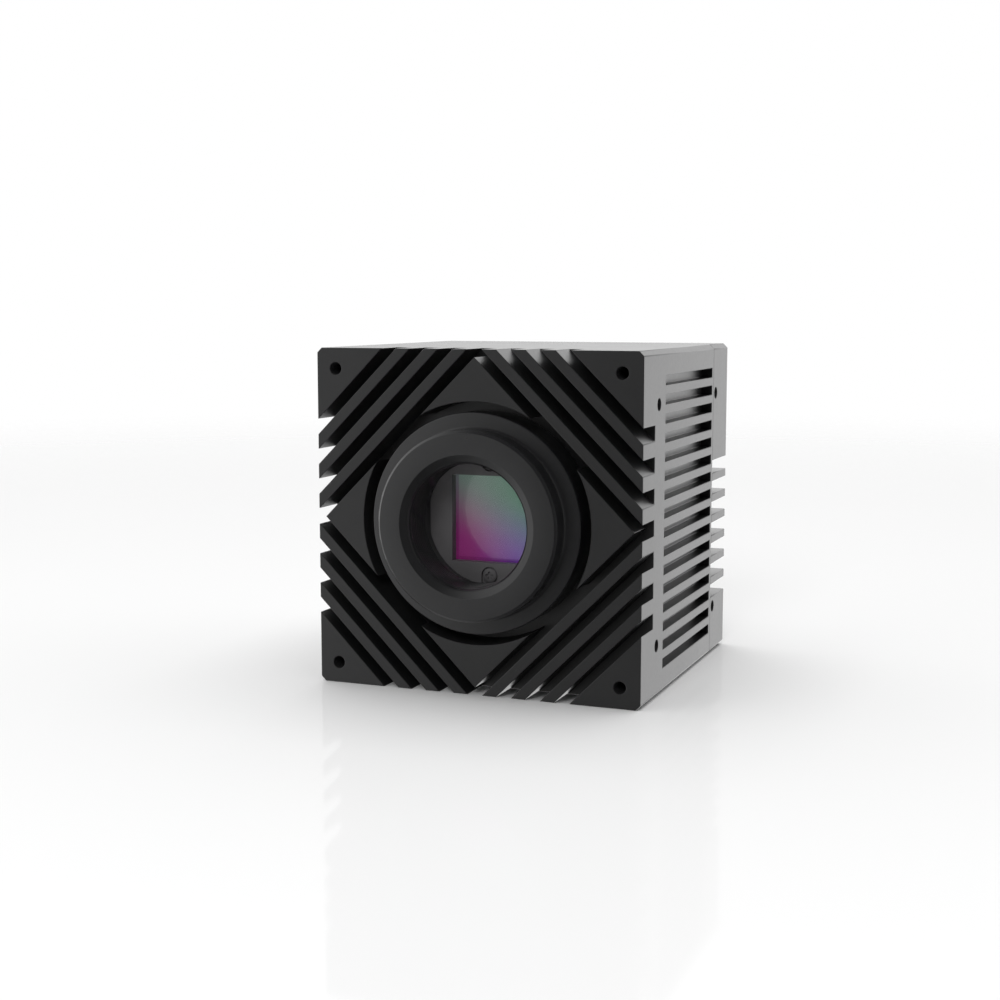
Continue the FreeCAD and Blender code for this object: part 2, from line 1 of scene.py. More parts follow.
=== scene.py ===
import json
import math
import bmesh
import bpy
import numpy as np
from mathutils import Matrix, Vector


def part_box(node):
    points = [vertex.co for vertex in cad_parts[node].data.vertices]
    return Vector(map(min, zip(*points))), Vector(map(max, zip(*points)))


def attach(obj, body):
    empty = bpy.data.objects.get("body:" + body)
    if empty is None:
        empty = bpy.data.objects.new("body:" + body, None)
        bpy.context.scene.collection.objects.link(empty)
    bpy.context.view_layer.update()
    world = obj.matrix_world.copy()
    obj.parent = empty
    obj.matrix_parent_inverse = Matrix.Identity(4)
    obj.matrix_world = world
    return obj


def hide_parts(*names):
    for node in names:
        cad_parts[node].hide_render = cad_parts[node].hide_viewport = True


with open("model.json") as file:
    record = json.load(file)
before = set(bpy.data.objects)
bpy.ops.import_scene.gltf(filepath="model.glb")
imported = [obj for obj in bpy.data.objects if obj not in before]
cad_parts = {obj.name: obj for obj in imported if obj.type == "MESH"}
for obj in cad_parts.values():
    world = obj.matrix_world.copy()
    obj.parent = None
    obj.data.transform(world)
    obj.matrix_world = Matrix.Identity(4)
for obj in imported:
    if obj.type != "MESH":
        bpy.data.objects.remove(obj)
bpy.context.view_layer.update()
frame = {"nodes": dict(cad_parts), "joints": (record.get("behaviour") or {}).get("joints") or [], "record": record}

mm = 0.001
body = "camera_body"
rotorBody = "fan_rotor_body"

# places that more than one piece uses, all from the frame
housingLow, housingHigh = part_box("main_housing")
ringLow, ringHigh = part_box("lens_mount_ring")
frontY = housingLow.y  # front face of the cube
axisZ = (housingLow.z + housingHigh.z) / 2  # height of the optical axis
fanSpin = next(joint for joint in frame["joints"] if joint["name"] == "fan_spin")
fanZ = fanSpin["pos_m"][2]


def depthOf(millimetres):
    # distance behind the front face, as a place along Y
    return frontY + millimetres * mm


# ---- camera, floor and light ----
cameraView = {
    "place": (0.12027, -0.32015, 0.0786),
    "azimuth": 21.65,
    "elevation": 7.04,
    "lens": 56.75,
    "film": 36,
    "reach": (0.01, 50),
}
floorLook = {
    "radius": 6.0,
    "rings": 24,
    "sides": 96,
    "white": 0.93,
    "fade": (0.18, 0.85),
    "gloss": 0.07,
    "gap": 0.00005,
    "roughness": 0.05,
}
softboxes = {
    "topBox": {"size": (1.8, 1.8), "place": (0.0, 0.1, 1.7), "power": 17.5},
    "frontBox": {"size": (0.5, 0.5), "place": (0.15, -1.1, 0.75), "power": 5.0},
}
backdrop = {
    "seen": 1.0,
    "behind": 1.1,
    "right": 0.04,
    "left": 0.62,
    "turn": (-0.3, 0.35),
    "swing": (-0.12, -0.62),
    "zenith": (0.5, 0.95, 0.45),
    "nadir": (-0.3, -0.65, 0.4),
}


def makeCamera(settings):
    data = bpy.data.cameras.new("studioCamera")
    data.lens = settings["lens"]
    data.sensor_width = settings["film"]
    data.clip_start, data.clip_end = settings["reach"]
    camera = bpy.data.objects.new("studioCamera", data)
    camera.location = settings["place"]
    tilt = math.radians(90 - settings["elevation"])
    camera.rotation_euler = (tilt, 0, math.radians(settings["azimuth"]))
    bpy.context.scene.collection.objects.link(camera)
    bpy.context.scene.camera = camera


def makeFloor(settings):
    # a flat disc just under the base: (r cos a, r sin a, -gap), with r by the square of the ring's number
    step = np.arange(1, settings["rings"] + 1) / settings["rings"]
    radius = settings["radius"] * step**2
    angle = circle(settings["sides"])[::-1]  # clockwise, so the faces look up
    points = ringPoints(radius, angle) - (0, 0, settings["gap"])
    disc = gridFaces(points, wrapColumns=True, capStart=True)
    floor = meshPiece("studioFloor", [disc], outward=False)
    material = bpy.data.materials.new("studioFloorWhite")
    material.use_nodes = True
    tree = material.node_tree
    tree.nodes.clear()
    out = addNode(tree, "ShaderNodeOutputMaterial")
    mix = addNode(tree, "ShaderNodeMixShader", {0: settings["gloss"]})
    matt = addNode(tree, "ShaderNodeBsdfDiffuse", {"Color": (settings["white"],) * 3 + (1,)})
    gloss = addNode(tree, "ShaderNodeBsdfGlossy", {"Roughness": settings["roughness"]})
    link(tree, matt.outputs[0], mix.inputs[1])
    link(tree, gloss.outputs[0], mix.inputs[2])
    coords = addNode(tree, "ShaderNodeTexCoord")
    away = addNode(tree, "ShaderNodeVectorMath", operation="LENGTH")
    fade = addNode(tree, "ShaderNodeMapRange", interpolation_type="SMOOTHSTEP")
    fade.inputs["From Min"].default_value, fade.inputs["From Max"].default_value = settings["fade"]
    clear = addNode(tree, "ShaderNodeBsdfTransparent")
    blend = addNode(tree, "ShaderNodeMixShader")
    link(tree, coords.outputs["Object"], away.inputs[0])
    link(tree, away.outputs["Value"], fade.inputs["Value"])
    below = addNode(tree, "ShaderNodeNewGeometry")
    hidden = addNode(tree, "ShaderNodeMath", operation="MAXIMUM")  # from underneath the floor is clear
    link(tree, fade.outputs["Result"], hidden.inputs[0])
    link(tree, below.outputs["Backfacing"], hidden.inputs[1])
    link(tree, hidden.outputs[0], blend.inputs[0])
    link(tree, mix.outputs[0], blend.inputs[1])
    link(tree, clear.outputs[0], blend.inputs[2])
    link(tree, blend.outputs[0], out.inputs["Surface"])
    floor.data.materials.append(material)
    floor.visible_glossy = False


def makeSoftbox(name, settings):
    data = bpy.data.lights.new(name, "AREA")
    data.shape = "RECTANGLE"
    data.size, data.size_y = settings["size"]
    data.energy = settings["power"]
    light = bpy.data.objects.new(name, data)
    light.location = settings["place"]
    towards = Vector((0, 0, axisZ)) - Vector(settings["place"])
    light.rotation_euler = towards.to_track_quat("-Z", "Y").to_euler()
    light.visible_glossy = False
    bpy.context.scene.collection.objects.link(light)


def makeBackdrop(settings):
    # white to the eye; as light it is bright behind, and in front it rises from right to left
    world = bpy.data.worlds.new("studioWorld")
    bpy.context.scene.world = world
    world.use_nodes = True
    tree = world.node_tree
    shade = tree.nodes["Background"]
    shade.inputs["Color"].default_value = (1, 1, 1, 1)
    coords = addNode(tree, "ShaderNodeTexCoord")
    split = addNode(tree, "ShaderNodeSeparateXYZ")
    swing = addNode(tree, "ShaderNodeMapRange", interpolation_type="SMOOTHSTEP")
    turn = addNode(tree, "ShaderNodeMapRange", interpolation_type="SMOOTHSTEP")
    swing.inputs["From Min"].default_value, swing.inputs["From Max"].default_value = settings["swing"]
    swing.inputs["To Min"].default_value = settings["right"]
    swing.inputs["To Max"].default_value = settings["left"]
    turn.inputs["From Min"].default_value, turn.inputs["From Max"].default_value = settings["turn"]
    turn.inputs["To Max"].default_value = settings["behind"]
    level = turn
    for end in ("zenith", "nadir"):
        dim = addNode(tree, "ShaderNodeMapRange", {"To Min": 1.0}, interpolation_type="SMOOTHSTEP")
        dim.inputs["From Min"].default_value = settings[end][0]
        dim.inputs["From Max"].default_value = settings[end][1]
        dim.inputs["To Max"].default_value = settings[end][2]
        scaled = addNode(tree, "ShaderNodeMath", operation="MULTIPLY")
        link(tree, split.outputs["Z"], dim.inputs["Value"])
        link(tree, level.outputs[0], scaled.inputs[0])
        link(tree, dim.outputs["Result"], scaled.inputs[1])
        level = scaled
    rays = addNode(tree, "ShaderNodeLightPath")
    pick = addNode(tree, "ShaderNodeMix")
    pick.inputs["B"].default_value = settings["seen"]
    link(tree, coords.outputs["Generated"], split.inputs[0])
    link(tree, split.outputs["X"], swing.inputs["Value"])
    link(tree, split.outputs["Y"], turn.inputs["Value"])
    link(tree, swing.outputs["Result"], turn.inputs["To Min"])
    link(tree, rays.outputs["Is Camera Ray"], pick.inputs["Factor"])
    link(tree, level.outputs[0], pick.inputs["A"])
    link(tree, pick.outputs["Result"], shade.inputs["Strength"])


# ---- shapes as arrays ----
def circle(sides):
    return np.linspace(0, 2 * np.pi, sides, endpoint=False)


def ringPoints(radius, angle):
    # radius by row and angle by column, flat on the floor
    grid = np.zeros((len(radius), len(angle), 3))
    grid[..., 0] = np.outer(radius, np.cos(angle))
    grid[..., 1] = np.outer(radius, np.sin(angle))
    return grid


def turnedPoints(radius, along, angle, origin, axis="y"):
    # origin + r cos a and r sin a across the axis + distance along it, for every row and angle
    radius, along, turn = np.broadcast_arrays(radius, along, angle[None, :])
    across = (radius * np.cos(turn), radius * np.sin(turn))
    order = {"y": (across[0], along, across[1]), "x": (along, across[0], across[1])}[axis]
    return np.stack(order, axis=-1) * mm + np.asarray(origin)


def column(values):
    return np.asarray(values, float)[:, None]


def gridFaces(grid, wrapRows=False, wrapColumns=False, capStart=False, capEnd=False):
    # four-sided faces between neighbouring points of a rows by columns grid
    rows, columns = grid.shape[:2]
    index = np.arange(rows * columns).reshape(rows, columns)
    low = index if wrapRows else index[:-1]
    high = np.roll(index, -1, 0) if wrapRows else index[1:]
    if wrapColumns:
        corners = [low, np.roll(low, -1, 1), np.roll(high, -1, 1), high]
    else:
        corners = [low[:, :-1], low[:, 1:], high[:, 1:], high[:, :-1]]
    faces = np.stack([corner.ravel() for corner in corners], axis=-1).tolist()
    if capStart:
        faces.append(index[0][::-1].tolist())
    if capEnd:
        faces.append(index[-1].tolist())
    return grid.reshape(-1, 3), faces


def meshPiece(name, parts, sharp=40, outward=True):
    # joins point and face lists into one mesh object whose place is in its points
    points = np.concatenate([part[0] for part in parts])
    faces = []
    start = 0
    for part in parts:
        faces += [[corner + start for corner in face] for face in part[1]]
        start += len(part[0])
    mesh = bpy.data.meshes.new(name)
    mesh.from_pydata(points.tolist(), [], faces)
    if outward:
        work = bmesh.new()
        work.from_mesh(mesh)
        bmesh.ops.recalc_face_normals(work, faces=work.faces)
        work.to_mesh(mesh)
        work.free()
    mesh.polygons.foreach_set("use_smooth", np.ones(len(mesh.polygons), bool))
    mesh.set_sharp_from_angle(angle=math.radians(sharp))
    piece = bpy.data.objects.new(name, mesh)
    bpy.context.scene.collection.objects.link(piece)
    return piece


def filleted(corners, radii, steps=5):
    # a path of straight runs whose corners are arcs, each tangent to its two runs
    corners = np.asarray(corners, float)
    path = []
    for index, radius in enumerate(radii):
        here = corners[index]
        if radius == 0 or index in (0, len(radii) - 1):
            path.append(here)
            continue
        into = corners[index - 1] - here
        out = corners[index + 1] - here
        into, out = into / np.linalg.norm(into), out / np.linalg.norm(out)
        half = math.acos(np.clip(into @ out, -1, 1)) / 2
        middle = here + (into + out) / np.linalg.norm(into + out) * radius / math.sin(half)
        first = here + into * radius / math.tan(half) - middle
        last = here + out * radius / math.tan(half) - middle
        turn = np.linspace(0, 1, steps + 1)[:, None]
        full = math.pi - 2 * half
        arc = (np.sin((1 - turn) * full) * first + np.sin(turn * full) * last) / math.sin(full)
        path += list(middle + arc)
    return np.array(path)


def finish(piece, material, replaced=(), rides=body):
    # one material, and what the frame has to know about the piece
    piece.data.materials.clear()
    piece.data.materials.append(material)
    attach(piece, rides)
    if replaced:
        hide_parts(*replaced)
    return piece


easing = {
    "joined": 1e-6,
    "flat": math.radians(0.5),
    "curved": math.radians(1),
    "sharp": math.radians(30),
    "segments": 2,
}


def easedCopy(node, width, name, settings):
    # the CAD node's own shape with a small round along every sharp edge
    mesh = frame["nodes"][node].data.copy()
    mesh.name = name
    work = bmesh.new()
    work.from_mesh(mesh)
    bmesh.ops.remove_doubles(work, verts=work.verts, dist=settings["joined"])
    bmesh.ops.dissolve_limit(work, angle_limit=settings["flat"], verts=work.verts, edges=work.edges)
    low, high = settings["curved"], settings["sharp"]
    sharp = [edge for edge in work.edges if edge.calc_face_angle(0) >= high]
    for face in work.faces:
        face.material_index = 0
    bmesh.ops.bevel(
        work,
        geom=sharp,
        offset=width * mm,
        offset_type="OFFSET",
        segments=settings["segments"],
        profile=0.5,
        affect="EDGES",
        clamp_overlap=False,
        material=1,
    )
    eased = {face for face in work.faces if face.material_index == 1}
    for face in work.faces:
        curved = [edge for edge in face.edges if low < edge.calc_face_angle(0) < high]
        face.smooth = face in eased or any(eased.isdisjoint(edge.link_faces) for edge in curved)
        face.material_index = 0
    for edge in work.edges:
        edge.smooth = edge.calc_face_angle(0) < high
    work.to_mesh(mesh)
    work.free()
    piece = bpy.data.objects.new(name, mesh)
    bpy.context.scene.collection.objects.link(piece)
    return piece


# ---- node groups ----
def newGroup(name, inputs, outputs):
    group = bpy.data.node_groups.new(name, "ShaderNodeTree")
    for label, kind, value in inputs:
        socket = group.interface.new_socket(label, in_out="INPUT", socket_type=kind)
        if value is not None:
            socket.default_value = value
    for label, kind in outputs:
        group.interface.new_socket(label, in_out="OUTPUT", socket_type=kind)
    start = group.nodes.new("NodeGroupInput")
    end = group.nodes.new("NodeGroupOutput")
    return group, start, end


def addNode(tree, kind, values=(), **settings):
    made = tree.nodes.new(kind)
    for label, value in settings.items():
        setattr(made, label, value)
    for label, value in dict(values).items():
        made.inputs[label].default_value = value
    return made


def link(tree, source, target):
    tree.links.new(source, target)


def blastedGrain():
    # two sizes of noise: fine blasted pits, and slow patches from handling
    group, start, end = newGroup(
        "blastedGrain",
        [
            ("Vector", "NodeSocketVector", None),
            ("Pit Scale", "NodeSocketFloat", 4000.0),
            ("Patch Scale", "NodeSocketFloat", 60.0),
            ("Patch Low", "NodeSocketFloat", 0.0),
            ("Patch High", "NodeSocketFloat", 1.0),
        ],
        [("Height", "NodeSocketFloat"), ("Patches", "NodeSocketFloat"), ("Speckle", "NodeSocketFloat")],
    )
    pits = addNode(group, "ShaderNodeTexNoise", {"Detail": 3.0, "Roughness": 0.6})
    coarse = addNode(group, "ShaderNodeTexNoise", {"Detail": 4.0, "Roughness": 0.62, "Distortion": 0.4})
    spread = addNode(group, "ShaderNodeMapRange", {"From Min": 0.3, "From Max": 0.7})
    speck = addNode(group, "ShaderNodeTexNoise", {"Detail": 1.0})
    divide = addNode(group, "ShaderNodeMath", {1: 0.22}, operation="MULTIPLY")
    link(group, start.outputs["Vector"], pits.inputs["Vector"])
    link(group, start.outputs["Vector"], coarse.inputs["Vector"])
    link(group, start.outputs["Vector"], speck.inputs["Vector"])
    link(group, start.outputs["Pit Scale"], pits.inputs["Scale"])
    link(group, start.outputs["Pit Scale"], divide.inputs[0])
    link(group, divide.outputs[0], speck.inputs["Scale"])
    link(group, start.outputs["Patch Scale"], coarse.inputs["Scale"])
    link(group, coarse.outputs["Fac"], spread.inputs["Value"])
    link(group, start.outputs["Patch Low"], spread.inputs["To Min"])
    link(group, start.outputs["Patch High"], spread.inputs["To Max"])
    link(group, pits.outputs["Fac"], end.inputs["Height"])
    link(group, spread.outputs["Result"], end.inputs["Patches"])
    link(group, speck.outputs["Fac"], end.inputs["Speckle"])
    return group


def turnedLines():
    # rings left by a lathe tool: a sine of (distance from the axis + depth) over the feed
    group, start, end = newGroup(
        "turnedLines",
        [("Vector", "NodeSocketVector", None), ("Feed", "NodeSocketFloat", 0.00016)],
        [("Height", "NodeSocketFloat")],
    )
    split = addNode(group, "ShaderNodeSeparateXYZ")
    flat = addNode(group, "ShaderNodeCombineXYZ")
    length = addNode(group, "ShaderNodeVectorMath", operation="LENGTH")
    total = addNode(group, "ShaderNodeMath", operation="ADD")
    ratio = addNode(group, "ShaderNodeMath", operation="DIVIDE")
    turns = addNode(group, "ShaderNodeMath", {1: 2 * math.pi}, operation="MULTIPLY")
    wave = addNode(group, "ShaderNodeMath", operation="SINE")
    scale = addNode(group, "ShaderNodeMath", {1: 0.5, 2: 0.5}, operation="MULTIPLY_ADD")
    link(group, start.outputs["Vector"], split.inputs[0])
    link(group, split.outputs["X"], flat.inputs["X"])
    link(group, split.outputs["Z"], flat.inputs["Z"])
    link(group, flat.outputs[0], length.inputs[0])
    link(group, length.outputs["Value"], total.inputs[0])
    link(group, split.outputs["Y"], total.inputs[1])
    link(group, total.outputs[0], ratio.inputs[0])
    link(group, start.outputs["Feed"], ratio.inputs[1])
    link(group, ratio.outputs[0], turns.inputs[0])
    link(group, turns.outputs[0], wave.inputs[0])
    link(group, wave.outputs[0], scale.inputs[0])
    link(group, scale.outputs[0], end.inputs["Height"])
    return group


grainGroup = blastedGrain()
linesGroup = turnedLines()
pitDepth = 0.00002
lineDepth = 0.00001


def surface(name, look):
    # one principled surface: grain drives roughness, tone and bump; constants sit on the shader
    material = bpy.data.materials.new(name)
    material.use_nodes = True
    tree = material.node_tree
    shade = tree.nodes["Principled BSDF"]
    coords = addNode(tree, "ShaderNodeTexCoord")
    centre = addNode(tree, "ShaderNodeMapping", vector_type="POINT")
    centre.inputs["Location"].default_value = [-value for value in look.get("centre", (0, 0, 0))]
    grain = addNode(tree, "ShaderNodeGroup")
    grain.node_tree = grainGroup
    grain.inputs["Pit Scale"].default_value = look.get("pits", 4000.0)
    grain.inputs["Patch Scale"].default_value = look.get("patches", 60.0)
    link(tree, coords.outputs["Object"], centre.inputs["Vector"])
    link(tree, centre.outputs[0], grain.inputs["Vector"])
    tone = addNode(tree, "ShaderNodeMix", data_type="RGBA")
    dark, light = look["colors"]
    tone.inputs["A"].default_value = (*dark, 1)
    tone.inputs["B"].default_value = (*light, 1)
    link(tree, grain.outputs["Patches"], tone.inputs["Factor"])
    link(tree, tone.outputs["Result"], shade.inputs["Base Color"])
    rough = addNode(tree, "ShaderNodeMapRange")
    rough.inputs["To Min"].default_value, rough.inputs["To Max"].default_value = look["roughness"]
    blend = addNode(tree, "ShaderNodeMath", {1: 0.5}, operation="MULTIPLY_ADD")
    half = addNode(tree, "ShaderNodeMath", {1: 0.5}, operation="MULTIPLY")
    link(tree, grain.outputs["Speckle"], half.inputs[0])
    link(tree, grain.outputs["Patches"], blend.inputs[0])
    link(tree, half.outputs[0], blend.inputs[2])
    link(tree, blend.outputs[0], rough.inputs["Value"])
    link(tree, rough.outputs["Result"], shade.inputs["Roughness"])
    bump = addNode(tree, "ShaderNodeBump")
    bump.inputs["Strength"].default_value = look.get("bump", 0.15)
    bump.inputs["Distance"].default_value = pitDepth
    link(tree, grain.outputs["Height"], bump.inputs["Height"])
    if "feed" in look:
        lines = addNode(tree, "ShaderNodeGroup")
        lines.node_tree = linesGroup
        lines.inputs["Feed"].default_value = look["feed"]
        link(tree, centre.outputs[0], lines.inputs["Vector"])
        turned = addNode(tree, "ShaderNodeBump")
        turned.inputs["Strength"].default_value = look["lineBump"]
        turned.inputs["Distance"].default_value = lineDepth
        link(tree, lines.outputs["Height"], turned.inputs["Height"])
        link(tree, bump.outputs["Normal"], turned.inputs["Normal"])
        bump = turned
    link(tree, bump.outputs["Normal"], shade.inputs["Normal"])
    shade.inputs["Metallic"].default_value = look.get("metallic", 0.0)
    shade.inputs["IOR"].default_value = look.get("ior", 1.5)
    shade.inputs["Coat Weight"].default_value = look.get("coat", 0.0)
    shade.inputs["Coat Roughness"].default_value = look.get("coatRoughness", 0.2)
    shade.inputs["Transmission Weight"].default_value = look.get("transmission", 0.0)
    return material


opticalCentre = (0, frontY, axisZ)
looks = {
    "housing_black": {
        "colors": ((0.013, 0.013, 0.0135), (0.018, 0.018, 0.0185)),
        "roughness": (0.34, 0.44),
        "pits": 5200.0,
        "patches": 45.0,
        "bump": 0.12,
        "coat": 0.7,
        "coatRoughness": 0.26,
        "ior": 1.55,
    },
    "mount_black": {
        "colors": ((0.011, 0.011, 0.012), (0.015, 0.015, 0.016)),
        "roughness": (0.26, 0.34),
        "pits": 6500.0,
        "patches": 70.0,
        "bump": 0.06,
        "feed": 0.00014,
        "lineBump": 0.25,
        "centre": opticalCentre,
        "coat": 1.0,
        "coatRoughness": 0.16,
        "ior": 1.55,
    },
    "frame_black": {
        "colors": ((0.022, 0.022, 0.024), (0.034, 0.034, 0.037)),
        "roughness": (0.42, 0.55),
        "pits": 6000.0,
        "patches": 90.0,
        "bump": 0.2,
    },
    "ceramic": {
        "colors": ((0.62, 0.6, 0.55), (0.74, 0.72, 0.68)),
        "roughness": (0.5, 0.65),
        "pits": 3000.0,
        "patches": 200.0,
    },
    "chip_black": {
        "colors": ((0.016, 0.016, 0.017), (0.026, 0.026, 0.027)),
        "roughness": (0.45, 0.6),
        "pits": 5000.0,
        "patches": 220.0,
        "bump": 0.3,
    },
    "copper": {
        "colors": ((0.62, 0.26, 0.14), (0.78, 0.36, 0.22)),
        "roughness": (0.25, 0.4),
        "metallic": 1.0,
        "pits": 2500.0,
        "patches": 120.0,
    },
    "bare_aluminium": {
        "colors": ((0.62, 0.63, 0.65), (0.74, 0.75, 0.77)),
        "roughness": (0.28, 0.42),
        "metallic": 1.0,
        "pits": 2500.0,
        "patches": 80.0,
    },
    "pellet_grey": {
        "colors": ((0.18, 0.18, 0.2), (0.3, 0.3, 0.32)),
        "roughness": (0.4, 0.55),
        "metallic": 0.6,
        "patches": 900.0,
    },
    "seal_rubber": {
        "colors": ((0.012, 0.012, 0.012), (0.02, 0.02, 0.02)),
        "roughness": (0.55, 0.7),
        "patches": 150.0,
    },
    "pad_grey": {
        "colors": ((0.22, 0.23, 0.27), (0.3, 0.31, 0.35)),
        "roughness": (0.6, 0.75),
        "patches": 150.0,
    },
    "washer_white": {
        "colors": ((0.68, 0.67, 0.62), (0.78, 0.77, 0.72)),
        "roughness": (0.4, 0.5),
        "patches": 300.0,
    },
    "black_screw": {
        "colors": ((0.016, 0.016, 0.018), (0.03, 0.03, 0.032)),
        "roughness": (0.25, 0.4),
        "metallic": 0.5,
        "pits": 5000.0,
        "patches": 400.0,
        "coat": 0.3,
    },
    "steel": {
        "colors": ((0.5, 0.5, 0.5), (0.62, 0.62, 0.61)),
        "roughness": (0.25, 0.38),
        "metallic": 1.0,
        "patches": 350.0,
    },
    "connector_steel": {
        "colors": ((0.58, 0.57, 0.55), (0.7, 0.69, 0.67)),
        "roughness": (0.16, 0.28),
        "metallic": 1.0,
        "pits": 3000.0,
        "patches": 200.0,
        "bump": 0.08,
    },
    "contact_gold": {
        "colors": ((0.72, 0.47, 0.15), (0.85, 0.6, 0.24)),
        "roughness": (0.16, 0.28),
        "metallic": 1.0,
        "patches": 500.0,
    },
    "socket_plastic": {
        "colors": ((0.014, 0.014, 0.015), (0.022, 0.022, 0.023)),
        "roughness": (0.38, 0.5),
        "pits": 4000.0,
        "patches": 200.0,
        "bump": 0.2,
    },
    "light_lens": {
        "colors": ((0.45, 0.62, 0.5), (0.6, 0.75, 0.64)),
        "roughness": (0.2, 0.3),
        "patches": 600.0,
        "transmission": 0.4,
    },
    "fan_plastic": {
        "colors": ((0.013, 0.013, 0.014), (0.02, 0.02, 0.021)),
        "roughness": (0.34, 0.46),
        "pits": 4200.0,
        "patches": 130.0,
        "bump": 0.25,
    },
    "magnet_grey": {
        "colors": ((0.07, 0.068, 0.068), (0.1, 0.098, 0.098)),
        "roughness": (0.6, 0.7),
        "patches": 300.0,
    },
}


boardLook = {
    "colors": ((0.006, 0.055, 0.022), (0.009, 0.075, 0.03)),
    "roughness": (0.25, 0.35),
    "patches": 90.0,
    "cells": {"Scale": 420.0, "Randomness": 0.6},
    "trackEdge": {"From Min": 0.05, "From Max": 0.09},
    "padEdge": {"From Min": 0.14, "From Max": 0.1},
    "track": (0.012, 0.13, 0.05, 1),
    "pad": (0.75, 0.6, 0.3, 1),
}


def boardMaterial(look):
    # green mask over copper: rounded cells of track, with bare pads at some of the cell points
    material = surface("boardGreen", look)
    tree = material.node_tree
    shade = tree.nodes["Principled BSDF"]
    coords = next(item for item in tree.nodes if item.type == "TEX_COORD")
    tracks = addNode(tree, "ShaderNodeTexVoronoi", look["cells"], feature="DISTANCE_TO_EDGE")
    pads = addNode(tree, "ShaderNodeTexVoronoi", look["cells"])
    trackMask = addNode(tree, "ShaderNodeMapRange", look["trackEdge"])
    padMask = addNode(tree, "ShaderNodeMapRange", look["padEdge"])
    green = next(item for item in tree.nodes if item.type == "MIX")
    overTrack = addNode(tree, "ShaderNodeMix", data_type="RGBA")
    overPad = addNode(tree, "ShaderNodeMix", data_type="RGBA")
    overTrack.inputs["A"].default_value = look["track"]
    overPad.inputs["B"].default_value = look["pad"]
    for texture in (tracks, pads):
        link(tree, coords.outputs["Object"], texture.inputs["Vector"])
    link(tree, tracks.outputs["Distance"], trackMask.inputs["Value"])
    link(tree, pads.outputs["Distance"], padMask.inputs["Value"])
    link(tree, trackMask.outputs["Result"], overTrack.inputs["Factor"])
    link(tree, green.outputs["Result"], overTrack.inputs["B"])
    link(tree, padMask.outputs["Result"], overPad.inputs["Factor"])
    link(tree, overTrack.outputs["Result"], overPad.inputs["A"])
    link(tree, overPad.outputs["Result"], shade.inputs["Base Color"])
    link(tree, padMask.outputs["Result"], shade.inputs["Metallic"])
    return material


sensorLook = {
    "colors": ((0.1, 0.1, 0.1), (0.1, 0.1, 0.1)),
    "roughness": (0.3, 0.36),
    "patches": 30.0,
    "bump": 0.004,
    "middle": (0, 0, axisZ),
    # painted reflection: these corner colours stand in for the sheen the chip reflects towards the camera, not the
    # chip's own colour
    "upperLeft": (0.1, 0.14, 0.12),
    "upperRight": (0.04, 0.13, 0.08),
    "lowerLeft": (0.16, 0.02, 0.105),
    "lowerRight": (0.085, 0.035, 0.23),
    "across": (-0.0075, 0.0085),
    "up": (-0.0085, 0.0065),
    "lean": 0.35,
    "active": 0.0088,
    "rim": (0.75, 0.6, 0.75, 1),
    "paintedGlow": 0.8,
}


def sensorMaterial(look):
    # the corner colours, a painted reflection of the chip's coloured sheen, blended across and up the chip, with a
    # duller rim past the active area; the same colours also shine as a painted glow
    material = surface("sensorPaintedSheenGlow", look)
    tree = material.node_tree
    shade = tree.nodes["Principled BSDF"]
    coords = next(item for item in tree.nodes if item.type == "TEX_COORD")
    centre = addNode(tree, "ShaderNodeMapping", vector_type="POINT")
    centre.inputs["Location"].default_value = [-value for value in look["middle"]]
    split = addNode(tree, "ShaderNodeSeparateXYZ")
    link(tree, coords.outputs["Object"], centre.inputs["Vector"])
    link(tree, centre.outputs[0], split.inputs[0])
    shares = {}
    lean = addNode(tree, "ShaderNodeMath", {1: look["lean"]}, operation="MULTIPLY_ADD")
    link(tree, split.outputs["X"], lean.inputs[0])
    link(tree, split.outputs["Z"], lean.inputs[2])
    for label, source in (("across", split.outputs["X"]), ("up", lean.outputs[0])):
        spread = addNode(tree, "ShaderNodeMapRange", interpolation_type="SMOOTHSTEP")
        spread.inputs["From Min"].default_value, spread.inputs["From Max"].default_value = look[label]
        link(tree, source, spread.inputs["Value"])
        shares[label] = spread.outputs["Result"]
    rows = []
    for left, right in (("lowerLeft", "lowerRight"), ("upperLeft", "upperRight")):
        row = addNode(tree, "ShaderNodeMix", data_type="RGBA")
        row.inputs["A"].default_value = (*look[left], 1)
        row.inputs["B"].default_value = (*look[right], 1)
        link(tree, shares["across"], row.inputs["Factor"])
        rows.append(row)
    field = addNode(tree, "ShaderNodeMix", data_type="RGBA")
    link(tree, shares["up"], field.inputs["Factor"])
    link(tree, rows[0].outputs["Result"], field.inputs["A"])
    link(tree, rows[1].outputs["Result"], field.inputs["B"])
    edge = None
    for source in ("X", "Z"):
        size = addNode(tree, "ShaderNodeMath", operation="ABSOLUTE")
        link(tree, split.outputs[source], size.inputs[0])
        if edge:
            larger = addNode(tree, "ShaderNodeMath", operation="MAXIMUM")
            link(tree, edge.outputs[0], larger.inputs[0])
            link(tree, size.outputs[0], larger.inputs[1])
            size = larger
        edge = size
    past = addNode(tree, "ShaderNodeMath", {1: look["active"]}, operation="GREATER_THAN")
    rim = addNode(tree, "ShaderNodeMix", data_type="RGBA", blend_type="MULTIPLY")
    rim.inputs["B"].default_value = look["rim"]
    link(tree, edge.outputs[0], past.inputs[0])
    link(tree, past.outputs[0], rim.inputs["Factor"])
    link(tree, field.outputs["Result"], rim.inputs["A"])
    link(tree, rim.outputs["Result"], shade.inputs["Base Color"])
    # painted glow: the chip emits its painted reflection colours, though it is no lamp
    link(tree, rim.outputs["Result"], shade.inputs["Emission Color"])
    shade.inputs["Emission Strength"].default_value = look["paintedGlow"]
    return material


def glassMaterial(name, ior, tint):
    # clear and smooth, with a slight haze where the slow patches are
    look = {
        "colors": (tint, tint),
        "roughness": (0.0, 0.004),
        "bump": 0.0,
        "ior": ior,
        "transmission": 1.0,
    }
    return surface(name, look)


